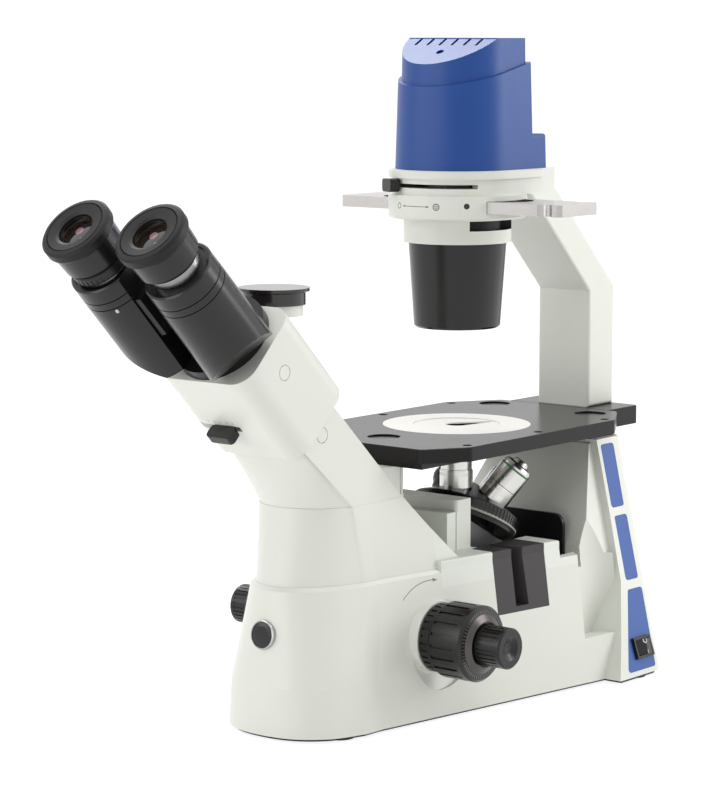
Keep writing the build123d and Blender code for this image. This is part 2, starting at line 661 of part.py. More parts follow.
# Stage
STAGE_UNDER = STAGE_TOP - STAGE_THICK
with BuildPart() as stage_plate:
    extrude(
        flat_outline(
            level(STAGE_UNDER),
            (-STAGE_HALF, STAGE_FRONT + 32), (-STAGE_HALF + 20, STAGE_FRONT), (STAGE_HALF - 20, STAGE_FRONT),
            (STAGE_HALF, STAGE_FRONT + 32), (STAGE_HALF, STAGE_BACK - 40), (STAGE_HALF - 25, STAGE_BACK),
            (-STAGE_HALF + 25, STAGE_BACK), (-STAGE_HALF, STAGE_BACK - 40),
        ),
        amount=STAGE_THICK,
    )
    fillet(stage_plate.edges().filter_by(Axis.Z), 5)
    chamfer(stage_plate.faces().sort_by(Axis.Z)[-1].outer_wire().edges(), 0.6)
    block((-60, 60), (STAGE_FRONT + 1.5, -60), (STAGE_UNDER - STAGE_PAD, STAGE_UNDER))
    disc(level(STAGE_TOP - INSERT_THICK), INSERT_RADIUS, 10, mode=Mode.SUBTRACT)
    disc(level(0), INSERT_RADIUS - 4, FAR, mode=Mode.SUBTRACT)
    for x, y in ((0, -86), (-45, 108), (45, 108)):
        disc(level(STAGE_TOP - 3, x, y), PLUG_RADIUS, 10, mode=Mode.SUBTRACT)
    for x in (-SCREW_X, SCREW_X):
        for y in SCREW_ROWS:
            disc(level(STAGE_UNDER - CUT, x, y), THREAD_RADIUS, 40, mode=Mode.SUBTRACT)
finish(stage_plate, "stage_plate")

with BuildPart() as stage_plugs:
    for x, y in ((0, -86), (-45, 108), (45, 108)):
        disc(level(STAGE_TOP - 3, x, y), PLUG_RADIUS - PRESS_GAP, 1.8)
finish(stage_plugs, "stage_plugs")

with BuildPart() as stage_screws:
    for x in (-SCREW_X, SCREW_X):
        disc(level(STAGE_UNDER + CUT, x, SCREW_ROWS[1]), THREAD_RADIUS, STAGE_THICK - 2 * CUT)
        with BuildSketch(level(STAGE_TOP - 4, x, SCREW_ROWS[1])):
            RegularPolygon(1.7, 6)
        extrude(amount=4, mode=Mode.SUBTRACT)
finish(stage_screws, "stage_screws")

with BuildPart() as stage_insert:
    disc(level(STAGE_TOP - INSERT_THICK + SEAT_GAP), INSERT_RADIUS - 0.25, INSERT_THICK - SEAT_GAP,
         inner=INNER_RING_RADIUS - 3)
    disc(level(STAGE_TOP - 1.4), INNER_RING_RADIUS + PRESS_GAP, 5, mode=Mode.SUBTRACT)
finish(stage_insert, "stage_insert")

with BuildPart() as insert_ring:
    disc(level(STAGE_TOP - 1.4), INNER_RING_RADIUS, 1.0)
    with BuildSketch(level(STAGE_TOP - 3)):
        Circle(8.5)
        with BuildLine():
            Polyline((-7.5, 4.0), (9.5, 28.0), (13.5, 26.0), (8.0, -3.0), close=True)
        make_face()
    extrude(amount=6, mode=Mode.SUBTRACT)
finish(insert_ring, "insert_ring")

with BuildPart() as stage_support:
    block((-36, 36), (-150, -105), (TUBE_SEAM - 30, STAGE_UNDER - STAGE_PAD))
    fillet(stage_support.edges().filter_by(Axis.Z), 6)
    for side in (-1, 1):
        block(sorted((side * 35.2, side * 37)), (-113, -111), (TUBE_SEAM - 30, FAR), mode=Mode.SUBTRACT)
    add(front_column.part, mode=Mode.SUBTRACT)
    add(observation_tube.part, mode=Mode.SUBTRACT)
    disc(head_plane(-120), 14.0, 220, mode=Mode.SUBTRACT)
finish(stage_support, "stage_support")

# Rear mounting of the stage and the lamp arm
with BuildPart() as stage_spacer:
    block((-40, 40), (117, 147), (STAND_TOP, FOOT_UNDER))
    block((-40, 40), (117, STAGE_BACK), (FOOT_UNDER, STAGE_UNDER))
finish(stage_spacer, "stage_spacer")

with BuildPart() as arm_foot:
    block((-46.5, 46.5), (STAGE_BACK + 0.2, 172), (FOOT_UNDER, STAGE_TOP))
    fillet(arm_foot.edges().filter_by(Axis.Z).group_by(Axis.Y)[-1], 4)
    chamfer(arm_foot.faces().sort_by(Axis.Z)[-1].edges(), 0.6)
finish(arm_foot, "arm_foot")

with BuildPart() as lamp_arm:
    side_slab(PILLAR_HALF, (PILLAR_FRONT, STAGE_TOP),
              (PILLAR_FRONT, STAGE_TOP + ARM_FRONT_SUM - PILLAR_FRONT),
              (BLOCK_BACK, STAGE_TOP + ARM_FRONT_SUM - BLOCK_BACK), (BLOCK_BACK, STAGE_TOP + BLOCK_TOP),
              (ARM_BACK_SUM - BLOCK_TOP, STAGE_TOP + BLOCK_TOP),
              (PILLAR_BACK, STAGE_TOP + ARM_BACK_SUM - PILLAR_BACK),
              (PILLAR_BACK, STAGE_TOP))
    fillet(lamp_arm.edges().filter_by(Plane.YZ).group_by(Axis.X)[0], 2.5)
    fillet(lamp_arm.edges().filter_by(Plane.YZ).group_by(Axis.X)[-1], 2.5)
finish(lamp_arm, "lamp_arm")


def lamp_outline(height, radius, back):
    """The plan of the lamp parts: a round front and straight sides to the back."""
    with BuildSketch(level(STAGE_TOP + height)) as outline:
        with BuildLine():
            ThreePointArc((-radius, 0), (0, -radius), (radius, 0))
            Polyline((radius, 0), (radius, back), (-radius, back), (-radius, 0))
        make_face()
        fillet(outline.vertices().group_by(Axis.Y)[-1], 5)
    return outline.sketch


with BuildPart() as lamp_block:
    extrude(lamp_outline(BLOCK_BOTTOM, BLOCK_RADIUS, BLOCK_BACK), amount=BLOCK_TOP - BLOCK_BOTTOM)
    extrude(lamp_outline(182.7, RING_RADIUS, 40), amount=5.0)
    disc(level(STAGE_TOP + BLOCK_BOTTOM - CUT), 20, 40, mode=Mode.SUBTRACT)
    disc(level(STAGE_TOP + 182), 24 + PRESS_GAP, 40, mode=Mode.SUBTRACT)
    disc(level(STAGE_TOP + 175.8), 34, IRIS_SLOT, mode=Mode.SUBTRACT)
    with BuildSketch(level(STAGE_TOP + 175.8)):
        with BuildLine():
            first = LEVER_ANGLE - 7
            last = LEVER_ANGLE + LEVER_SWEEP + 5
            middle = (first + last) / 2
            rim = [(60 * cos(radians(angle)), 60 * sin(radians(angle))) for angle in (first, middle, last)]
            ThreePointArc(*rim)
            Line(rim[2], (0, 0))
            Line((0, 0), rim[0])
        make_face()
    extrude(amount=IRIS_SLOT, mode=Mode.SUBTRACT)
finish(lamp_block, "lamp_block")

with BuildPart() as iris_lever:
    lever_level = STAGE_TOP + 175.8 + BODY_GAP
    disc(level(lever_level), 33.5, IRIS_SLOT - 2 * BODY_GAP, inner=16)
    arm_plane = level(lever_level).rotated((0, 0, LEVER_ANGLE))
    with BuildSketch(arm_plane):
        with Locations((42, 0)):
            Rectangle(24, 5)
    extrude(amount=IRIS_SLOT - 2 * BODY_GAP)
    with BuildSketch(Plane(arm_plane.location * Location((49.5, 0, 1.2), (0, 90, 0)))) as grip:
        RectangleRounded(9.5, 15, 2.5)
    extrude(grip.sketch, amount=7.5)
finish(iris_lever, "iris_lever")

with BuildPart() as aperture_ring:
    turn(level(STAGE_TOP), (20, RING_BOTTOM), (COLLAR_RADIUS + 1, RING_BOTTOM),
         (RING_RADIUS - 1.5, RING_BOTTOM),
         (RING_RADIUS, RING_BOTTOM + 1.5), (RING_RADIUS, BLOCK_BOTTOM), (20, BLOCK_BOTTOM))
    block((-FAR, FAR), (-SLIDER_HALF_WIDTH - BODY_GAP, SLIDER_HALF_WIDTH + BODY_GAP),
          (STAGE_TOP + SLIDER_BOTTOM - BODY_GAP, STAGE_TOP + SLIDER_BOTTOM + SLIDER_THICK + BODY_GAP),
          mode=Mode.SUBTRACT)
finish(aperture_ring, "aperture_ring")

with BuildPart() as phase_slider:
    block((SLIDER_LEFT, SLIDER_RIGHT), (-SLIDER_HALF_WIDTH, SLIDER_HALF_WIDTH),
          (STAGE_TOP + SLIDER_BOTTOM, STAGE_TOP + SLIDER_BOTTOM + SLIDER_THICK))
    chamfer(phase_slider.edges().filter_by(Axis.Z), 3)
    for step in (-1, 0, 1):
        disc(level(STAGE_TOP + SLIDER_BOTTOM - CUT, step * SLIDER_PITCH), 17, 20, mode=Mode.SUBTRACT)
        disc(level(STAGE_TOP + SLIDER_BOTTOM + 3, step * SLIDER_PITCH), 19 + PRESS_GAP, 20,
             mode=Mode.SUBTRACT)
    for side in (-1, 1):
        disc(level(STAGE_TOP + SLIDER_BOTTOM - CUT, 95, side * (SLIDER_HALF_WIDTH + 3)), 7, 20,
             mode=Mode.SUBTRACT)
finish(phase_slider, "phase_slider")

with BuildPart() as phase_rings:
    for step in (-1, 0, 1):
        disc(level(STAGE_TOP + SLIDER_BOTTOM + 3, step * SLIDER_PITCH), 19, 2.5)
finish(phase_rings, "phase_rings")

with BuildPart() as condenser_collar:
    disc(level(STAGE_TOP + COLLAR_BOTTOM), COLLAR_RADIUS, RING_BOTTOM - COLLAR_BOTTOM, inner=20)
    block((-29, 29), (-FAR, -COLLAR_RADIUS + 14), (STAGE_TOP + 145.2, STAGE_TOP + 152.3), mode=Mode.SUBTRACT)
finish(condenser_collar, "condenser_collar")

with BuildPart() as condenser_cone:
    turn(level(STAGE_TOP), (20, COLLAR_BOTTOM), (CONE_TOP_RADIUS, COLLAR_BOTTOM),
         (CONE_FOOT_RADIUS, CONE_BOTTOM + 1.5),
         (CONE_FOOT_RADIUS - 1.5, CONE_BOTTOM), (27, CONE_BOTTOM), (27, CONE_BOTTOM + 4),
         (25, CONE_BOTTOM + 4),
         (25, COLLAR_BOTTOM - 10), (20, COLLAR_BOTTOM - 10))
finish(condenser_cone, "condenser_cone")

SLOPE_LOW = (-40.0, 265.0)
SLOPE_HIGH = (-7.0, 282.5)
LEDGE_FRONT = (-46.0, 248.0)
LEDGE_BACK = (34.0, 266.5)
with BuildPart() as lamp_housing:
    extrude(lamp_outline(BLOCK_TOP, LAMP_RADIUS, 50), amount=213.5 - BLOCK_TOP, taper=1.8)
    fillet(lamp_housing.faces().sort_by(Axis.Z)[-1].edges().group_by(Axis.Y)[-1], 2)
    extrude(lamp_outline(BLOCK_TOP, LAMP_RADIUS, 34), amount=85, taper=1.8)
    side_slab(FAR, (-FAR, STAGE_TOP + LEDGE_FRONT[1] - 0.23 * (FAR + LEDGE_FRONT[0])),
              (FAR, STAGE_TOP + LEDGE_BACK[1] + 0.23 * (FAR - LEDGE_BACK[0])), (FAR, FAR * 2),
              (-FAR, FAR * 2),
              mode=Mode.SUBTRACT)
    extrude(lamp_outline(240, 41.4, 30), amount=LAMP_TOP - 240, taper=1.0)
    side_slab(FAR, (-60, STAGE_TOP + SLOPE_LOW[1] - 20 * 0.53), (SLOPE_LOW[0], STAGE_TOP + SLOPE_LOW[1]),
              (SLOPE_HIGH[0], STAGE_TOP + SLOPE_HIGH[1]), (SLOPE_HIGH[0], FAR * 2), (-60, FAR * 2),
              mode=Mode.SUBTRACT)
    extrude(lamp_outline(BLOCK_TOP - CUT, 38.5, 28), amount=240 - BLOCK_TOP, mode=Mode.SUBTRACT)
    for x in (-27.5, -16.5, -5.5, 5.5, 16.5, 27.5):
        with BuildSketch(level(STAGE_TOP + 290, x, -4)):
            SlotOverall(24, 2.6, rotation=90)
        extrude(amount=-70, mode=Mode.SUBTRACT)
    disc(Plane((2, -25, STAGE_TOP + 274), x_dir=(1, 0, 0), z_dir=(0, -0.47, 0.88)), 3, -4, mode=Mode.SUBTRACT)
finish(lamp_housing, "lamp_housing")

with BuildPart() as lamp_socket:
    disc(level(STAGE_TOP + BLOCK_TOP), 27, 34)
    disc(level(STAGE_TOP + BLOCK_TOP - CUT), 23, 30, mode=Mode.SUBTRACT)
    for step in range(5):
        disc(level(STAGE_TOP + BLOCK_TOP + 12 + 4.4 * step), 29, 2, inner=25, mode=Mode.SUBTRACT)
    disc(level(STAGE_TOP + BLOCK_TOP + 26), 8, 3)
    disc(level(STAGE_TOP + BLOCK_TOP + 24), 4, 2)
finish(lamp_socket, "lamp_socket")

with BuildPart() as fixed_lenses:
    turn(level(STAGE_TOP + 182), (0, 0), (24, 0), (24, 3.5), (14, 6.5), (0, 8.5))
    turn(level(STAGE_TOP + CONE_BOTTOM + 4), (0, 0.4), (24.9, 0.4), (24.9, 4), (13, 7.0), (0, 9))
    turn(head_plane(-53.5), (0, -1.5), (13, 0), (13, 2), (0, 3.4))
finish(fixed_lenses, "fixed_lenses")

# Nosepiece trough, shield and side covers
with BuildPart() as wedge_flank:
    add(column_form.part)
    block((-FAR, FAR), (COLUMN_REAR, FAR), (BASE_SEAM, FAR), mode=Mode.INTERSECT)

with BuildPart() as deck_housing:
    add(base_form.part)
    block((-FAR, FAR), (COLUMN_REAR, BASE_BACK), (PANEL_SEAM, DECK_TOP), mode=Mode.INTERSECT)
    block((-FAR, FAR), (32, FAR), (DECK_STEP, FAR), mode=Mode.SUBTRACT)
    deck_rim = [edge for edge in deck_housing.edges()
                if abs(edge.center().Z - DECK_TOP) < 0.1 and edge.center().Y > COLUMN_REAR + CUT]
    fillet(deck_rim, 1.5)
    block((-POCKET_HALF, POCKET_HALF), (POCKET_FRONT, FAR), (PANEL_SEAM - CUT, FAR), mode=Mode.SUBTRACT)
    block((-FAR, FAR), (SCOOP_Y, FAR), (PANEL_SEAM - CUT, FAR), mode=Mode.SUBTRACT)
    add(scoop_form.part, mode=Mode.SUBTRACT)
    add(stand_form.part, mode=Mode.SUBTRACT)
    block((-TROUGH_HALF, TROUGH_HALF), (TROUGH_FRONT, TROUGH_BACK), (0, FAR), mode=Mode.SUBTRACT)
    add(cover_region.part, mode=Mode.SUBTRACT)
    add(wedge_flank.part)
    block((-TOWER_HALF, TOWER_HALF), (-58, -47), (PANEL_SEAM, STAGE_TOP - 56))
    block((-TOWER_HALF, TOWER_HALF), (-47, TROUGH_FRONT), (PANEL_SEAM, STAGE_TOP - 48))
    fillet(deck_housing.edges().filter_by(Axis.Z).group_by(Axis.Z)[-1], 3)
    for side in (-1, 1):
        block(sorted((side * (TOWER_HALF - 1), side * TOWER_HALF)), (-48, -46.6), (DECK_TOP, FAR),
              mode=Mode.SUBTRACT)
    block((-31, 31), (-55, -35), (0, STAGE_TOP - 60), mode=Mode.SUBTRACT)
    block((-29.5, 29.5), (-40, FAR), (0, STAGE_TOP - 64), mode=Mode.SUBTRACT)
    block((-31, 31), (-95, -50), (0, PANEL_SEAM + 8), mode=Mode.SUBTRACT)
    add(front_column.part, mode=Mode.SUBTRACT)
    add(base_casting.part, mode=Mode.SUBTRACT)
    disc(head_plane(-200), 14.0, 220, mode=Mode.SUBTRACT)
finish(deck_housing, "deck_housing")

with BuildPart() as trough_covers:
    add(base_form.part)
    add(cover_region.part, mode=Mode.INTERSECT)
    block((-FAR, FAR), (-FAR, COVER_FRONT + 0.2), (0, FAR), mode=Mode.SUBTRACT)
    block((-FAR, FAR), (COVER_BACK - 0.2, FAR), (0, FAR), mode=Mode.SUBTRACT)
    for side in (-1, 1):
        with BuildSketch(Plane.XY.offset(COVER_BOTTOM + 4)):
            with BuildLine():
                Polyline((side * 43, -18), (side * 80, -18), (side * 80, -2), (side * 43, -14), close=True)
            make_face()
        extrude(amount=DECK_TOP - COVER_BOTTOM, mode=Mode.SUBTRACT)
finish(trough_covers, "trough_covers")

with BuildPart() as trough_shield:
    with BuildSketch(Plane((0, GUARD_Y, POCKET_FLOOR), x_dir=(1, 0, 0), z_dir=(0, -1, 0))) as shield:
        Rectangle(2 * GUARD_HALF, GUARD_TOP - POCKET_FLOOR, align=(Align.CENTER, Align.MIN))
        fillet(shield.vertices().group_by(Axis.Z)[-1], 9)
    extrude(amount=-3)
finish(trough_shield, "trough_shield")

# Focus mechanism
PITCH_RADIUS = GEAR_MODULE * PINION_TEETH / 2
TOOTH_PITCH = pi * GEAR_MODULE
RACK_LINE = FOCUS_Y + PITCH_RADIUS


def grips(plane, radius, count, width, depth, length, mode=Mode.SUBTRACT):
    """Grooves along a knob, evenly spaced round it."""
    with BuildSketch(plane) as grooves:
        with PolarLocations(radius, count):
            Rectangle(2 * depth, width)
    extrude(grooves.sketch, amount=length, mode=mode)


with BuildPart() as fine_knobs:
    disc(knob_plane(-COARSE_FACE - CUT), FINE_SHAFT_RADIUS, 2 * (COARSE_FACE + CUT))
    for side in (-1, 1):
        start = COARSE_FACE + BODY_GAP
        turn(knob_plane(0, side), (0, start), (FINE_RADIUS, start), (FINE_RADIUS, FINE_FACE - 1),
             (FINE_RADIUS - 1, FINE_FACE), (8.5, FINE_FACE), (4, FINE_FACE - 2.6), (0, FINE_FACE - 3.2))
        grips(knob_plane(side * (start + 5), side), FINE_RADIUS, FINE_GRIPS, 1.0, 0.7, 15)
finish(fine_knobs, "fine_knobs")

with BuildPart() as coarse_knobs:
    disc(knob_plane(-COARSE_FACE), SLEEVE_RADIUS, 2 * COARSE_FACE)
    for side in (-1, 1):
        back = NECK_FACE + 0.5
        turn(knob_plane(0, side), (0, back), (COARSE_RADIUS - 1.5, back), (COARSE_RADIUS, back + 1.5),
             (COARSE_RADIUS, COARSE_FACE - 2), (COARSE_RADIUS - 2, COARSE_FACE), (21.0, COARSE_FACE),
             (20.0, COARSE_FACE - 2.5), (16.5, COARSE_FACE - 2.5), (16.5, COARSE_FACE), (0, COARSE_FACE))
        grips(knob_plane(side * (back + 2), side), COARSE_RADIUS, COARSE_GRIPS, 2.2, 1.0,
              COARSE_FACE - back - 8)
    with BuildSketch(knob_plane(PINION_X - PINION_WIDTH / 2)) as pinion:
        Circle(PITCH_RADIUS - 1.1 * GEAR_MODULE)
        with PolarLocations(PITCH_RADIUS - 0.15, PINION_TEETH):
            Trapezoid(0.6 * TOOTH_PITCH, 2.0 * GEAR_MODULE, 78, rotation=-90)
    extrude(pinion.sketch, amount=PINION_WIDTH)
    disc(knob_plane(-COARSE_FACE - CUT), FINE_SHAFT_RADIUS + RUNNING_FIT, 2 * (COARSE_FACE + CUT),
         mode=Mode.SUBTRACT)
finish(coarse_knobs, "coarse_knobs")

with BuildPart() as tension_ring:
    turn(knob_plane(0), (NECK_RADIUS + RUNNING_FIT, BOSS_FACE + BODY_GAP),
         (TENSION_RADIUS - 0.8, BOSS_FACE + BODY_GAP),
         (TENSION_RADIUS, BOSS_FACE + 1), (TENSION_RADIUS, NECK_FACE - 1),
         (TENSION_RADIUS - 0.8, NECK_FACE - 0.1),
         (NECK_RADIUS + RUNNING_FIT, NECK_FACE - 0.1))
    grips(knob_plane(BOSS_FACE + 2.5), TENSION_RADIUS, 30, 1.6, 0.8, 5)
finish(tension_ring, "tension_ring")

ROD_X = 23.0
ROD_Y = -45.0
ROD_RADIUS = 3.5
with BuildPart() as guide_rods:
    for x in (-ROD_X, ROD_X):
        disc(level(CAVITY_FLOOR, x, ROD_Y), ROD_RADIUS, STAGE_TOP - 60 - CAVITY_FLOOR)
finish(guide_rods, "guide_rods")

ARM_BOTTOM = 94.0
ARM_TOP = 122.0
MOUNT_DEPTH = -27.0
with BuildPart() as focus_carriage:
    for x in (-ROD_X, ROD_X):
        block((x - 6.5, x + 6.5), (-53, -37), (66, 128))
    block((-29.5, 29.5), (-53, -37), (ARM_BOTTOM, 128))
    side_slab(28.0, (-38, ARM_BOTTOM), (-38, ARM_TOP), (-20, ARM_TOP), (-20, 150), (36, 150),
              (36, ARM_BOTTOM))
    with BuildSketch(turret_plane(MOUNT_DEPTH)):
        Rectangle(200, 200)
    extrude(amount=100, mode=Mode.SUBTRACT)
    block((PINION_X - PINION_WIDTH / 2 + 1, PINION_X + PINION_WIDTH / 2 - 1),
          (RACK_LINE + 1.25 * GEAR_MODULE + 0.2, -50), (48, 92))
    with BuildSketch(Plane.YZ.offset(PINION_X - PINION_WIDTH / 2 + 1)) as rack:
        tooth_count = 14
        for step in range(tooth_count):
            rise = (step - (tooth_count - 1) / 2 + 1) * TOOTH_PITCH
            with Locations((RACK_LINE + 0.45, FOCUS_Z + rise)):
                Trapezoid(0.6 * TOOTH_PITCH, 2.0 * GEAR_MODULE, 78, rotation=90)
    for x in (-ROD_X, ROD_X):
        disc(level(0, x, ROD_Y), ROD_RADIUS + RUNNING_FIT, FAR, mode=Mode.SUBTRACT)
    disc(level(0), 10, FAR, mode=Mode.SUBTRACT)
finish(focus_carriage, "focus_carriage")

with BuildPart() as nosepiece_base:
    turn(turret_plane(0), (AXLE_RADIUS + RUNNING_FIT, MOUNT_DEPTH), (24, MOUNT_DEPTH), (24, -20), (36, -20),
         (36.4, -22), (39, -22), (39, -18.8), (35.5, -18.8), (35.5, -10.3),
         (AXLE_RADIUS + RUNNING_FIT, -10.3))
    disc(level(100), 9, 60, mode=Mode.SUBTRACT)
finish(nosepiece_base, "nosepiece_base")

with BuildPart() as nosepiece_turret:
    turn(turret_plane(0), (0, 10.6), (3, 9.6), (39.5, -9), (KNURL_RADIUS, -9.8), (KNURL_RADIUS, -13.6),
         (KNURL_RADIUS - 0.6, -13.6), (KNURL_RADIUS - 0.6, -14.4), (KNURL_RADIUS, -14.4),
         (KNURL_RADIUS, -18.5),
         (36.2, -18.5), (36.2, -10), (0, -10))
    grips(turret_plane(-18), KNURL_RADIUS, KNURL_COUNT, 1.1, 0.45, 7.8)
    for station in range(4):
        disc(objective_plane(station), OBJECTIVE_RADIUS + 0.3, 20, mode=Mode.SUBTRACT)
        disc(objective_plane(station, -5), MOUNT_THREAD + PRESS_GAP, 20, mode=Mode.SUBTRACT)
        disc(objective_plane(station, -30), LIGHT_BORE, 40, mode=Mode.SUBTRACT)
    disc(turret_plane(MOUNT_DEPTH + 0.5), AXLE_RADIUS, -MOUNT_DEPTH - 8.5)
finish(nosepiece_turret, "nosepiece_turret")


def objective(station, name, body_radius, length, tip_radius, waist):
    """An objective: thread, knurled foot, barrel, nose cone and tip."""
    foot = OBJECTIVE_RADIUS
    with BuildPart() as barrel:
        turn(objective_plane(station), (LIGHT_BORE - 2, -4.5), (MOUNT_THREAD, -4.5), (MOUNT_THREAD, 0),
             (foot, 0),
             (foot, waist - 0.6), (foot - 0.6, waist - 0.6), (foot - 0.6, waist), (body_radius, waist),
             (body_radius, length - 6), (body_radius - 1.5, length - 4), (tip_radius + 1.5, length - 3),
             (tip_radius, length - 0.6), (tip_radius - 0.6, length), (2.8, length), (2.8, length - 2),
             (LIGHT_BORE - 2, length - 6))
        grips(objective_plane(station, waist - 4), foot, 40, 0.6, 0.3, 2.4)
    finish(barrel, name)


objective(0, "objective_low", 11.5, 34.0, 8.0, 13.0)
objective(1, "objective_medium", 12.2, 36.0, 5.5, 10.0)
objective(2, "objective_high", 12.2, 37.0, 5.0, 10.0)
objective(3, "objective_scan", 11.0, 20.0, 8.5, 8.0)

# Mirrors that fold the light path forwards and up the tube
with BuildPart() as fold_mirrors:
    block((-15, 15), (-65, 16), (CAVITY_FLOOR, CAVITY_FLOOR + 5))
    side_slab(15, (-14, CAVITY_FLOOR), (16, CAVITY_FLOOR), (16, 58), (-14, 28))
    side_slab(15, (-65, CAVITY_FLOOR), (-36, CAVITY_FLOOR), (-36, 38.5), (-65, 50.5))
    side_slab(13, (-13.5, 28), (15.5, 57), (14.0, 59.5), (-16.0, 29.5))
finish(fold_mirrors, "fold_mirrors")

# Inlays, switch, dial and mains inlet of the rear stand
with BuildPart() as stand_inlays:
    for side in (-1, 1):
        for corners in INLAYS:
            extrude(inlay_face(side, corners, PRESS_GAP), amount=-INLAY_THICK)
    with BuildSketch(side_plane(1, SWITCH_Y, SWITCH_Z, CUT)):
        Rectangle(SWITCH_LENGTH + 2 * PRESS_GAP, SWITCH_WIDTH + 2 * PRESS_GAP)
    extrude(amount=-10, mode=Mode.SUBTRACT)
    disc(side_plane(-1, SWITCH_Y, SWITCH_Z, CUT), DIAL_SPINDLE + BODY_GAP, -10, mode=Mode.SUBTRACT)
finish(stand_inlays, "stand_inlays")

with BuildPart() as switch_bezel:
    with BuildSketch(side_plane(1, SWITCH_Y, SWITCH_Z, -12)):
        Rectangle(SWITCH_LENGTH, SWITCH_WIDTH)
    extrude(amount=14.5)
    with BuildSketch(side_plane(1, SWITCH_Y, SWITCH_Z, -8)):
        Rectangle(SWITCH_LENGTH - 4, SWITCH_WIDTH - 4)
    extrude(amount=20, mode=Mode.SUBTRACT)
finish(switch_bezel, "switch_bezel")

with BuildPart() as power_switch:
    rocker = side_plane(1, SWITCH_Y, SWITCH_Z)
    start = rocker.origin - rocker.y_dir * (SWITCH_WIDTH / 2 - 2 - BODY_GAP)
    with BuildSketch(Plane(start, x_dir=rocker.x_dir, z_dir=rocker.y_dir).rotated((0, 0, -SWITCH_THROW))):
        with BuildLine():
            Polyline((-7.4, 4.0), (-8.2, 0), (-7.4, -2.6), (0, -5.2), (7.4, -2.6), (8.2, 0), (7.4, 4.0),
                     close=True)
        make_face()
    extrude(amount=SWITCH_WIDTH - 4 - 2 * BODY_GAP)
finish(power_switch, "power_switch")

with BuildPart() as brightness_dial:
    dial = side_plane(-1, SWITCH_Y, SWITCH_Z, BODY_GAP)
    turn(dial, (0, -12), (DIAL_SPINDLE, -12), (DIAL_SPINDLE, 0), (DIAL_RADIUS, 0),
         (DIAL_RADIUS, DIAL_HEIGHT - 1),
         (DIAL_RADIUS - 1, DIAL_HEIGHT), (0, DIAL_HEIGHT))
    grips(Plane(dial.origin + dial.z_dir * 2, x_dir=dial.x_dir, z_dir=dial.z_dir), DIAL_RADIUS, 24, 0.9, 0.6,
          5)
finish(brightness_dial, "brightness_dial")

with BuildPart() as mains_inlet:
    inlet_back = STAND_BACK_NOSE_FOOT + 3.0
    block((-INLET_WIDTH / 2 + 0.1, INLET_WIDTH / 2 - 0.1), (STAND_BACK_NOSE_FOOT - 22, inlet_back),
          (INLET_Z - INLET_HEIGHT / 2 + 0.1, INLET_Z + INLET_HEIGHT / 2 - 0.1))
    block((-11, 11), (inlet_back - 15, FAR), (INLET_Z - 7.5, INLET_Z + 7.5), mode=Mode.SUBTRACT)
    for x in (-7, 0, 7):
        block((x - 0.8, x + 0.8), (inlet_back - 15, inlet_back - 2), (INLET_Z - 2, INLET_Z + 2))
finish(mains_inlet, "mains_inlet")
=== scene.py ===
import json
from math import atan2, cos, degrees, pi, radians, sin

import bmesh
import bpy
from mathutils import Matrix, Vector


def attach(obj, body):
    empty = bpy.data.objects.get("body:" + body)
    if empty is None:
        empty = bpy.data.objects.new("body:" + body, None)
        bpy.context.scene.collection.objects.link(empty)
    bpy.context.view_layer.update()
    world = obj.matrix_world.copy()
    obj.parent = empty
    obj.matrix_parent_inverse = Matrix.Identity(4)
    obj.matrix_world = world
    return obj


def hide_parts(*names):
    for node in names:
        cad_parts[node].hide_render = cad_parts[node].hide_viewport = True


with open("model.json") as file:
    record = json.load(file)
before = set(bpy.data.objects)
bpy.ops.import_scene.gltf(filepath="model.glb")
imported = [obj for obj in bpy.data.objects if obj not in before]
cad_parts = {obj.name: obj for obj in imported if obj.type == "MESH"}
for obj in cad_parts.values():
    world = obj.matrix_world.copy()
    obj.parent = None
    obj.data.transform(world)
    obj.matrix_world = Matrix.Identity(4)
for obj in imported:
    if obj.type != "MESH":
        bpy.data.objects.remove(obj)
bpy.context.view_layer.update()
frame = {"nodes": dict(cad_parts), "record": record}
scene = bpy.context.scene
nodes = frame["nodes"]

# Lengths are in metres, and angles in degrees where a line doesn't turn them into radians
ORIGIN = (0.0, 0.0, 0.0)
RIGHT, BACK, UP = (1.0, 0.0, 0.0), (0.0, 1.0, 0.0), (0.0, 0.0, 1.0)
SLOPE = cos(radians(45))
EYETUBE_AXIS = (0.0, -SLOPE, SLOPE)
KNOB_CENTRE = (0.0, -0.1, 0.0605)
BADGE_CENTRE, BADGE_FACING = (0.0, -0.2159, 0.073), (0.0, -1.0, 0.147)
TURRET_CENTRE = Vector((0.0, 0.017659, 0.139611))
TURRET_AXIS = Vector((0.0, 0.46947156, 0.88294759))
OBJECTIVE_TILT = 28.0
OBJECTIVE_RADIUS = 0.020

# What every painted or turned surface shares
STAIN_SCALE, GRAIN_SCALE, GRAIN_DEPTH = 9.0, 2600.0, 0.0002
GLOSS_FROM, GLOSS_RANGE = 0.85, 0.3
COAT_ROUGHNESS = 0.12
TOOL_LINE_SCALE, TOOL_LINE_GLOSS = 9000.0, 0.1
SMEAR_SCALE, SMEAR_SHADE, SMEAR_GLOSS = 30.0, 0.82, 0.05


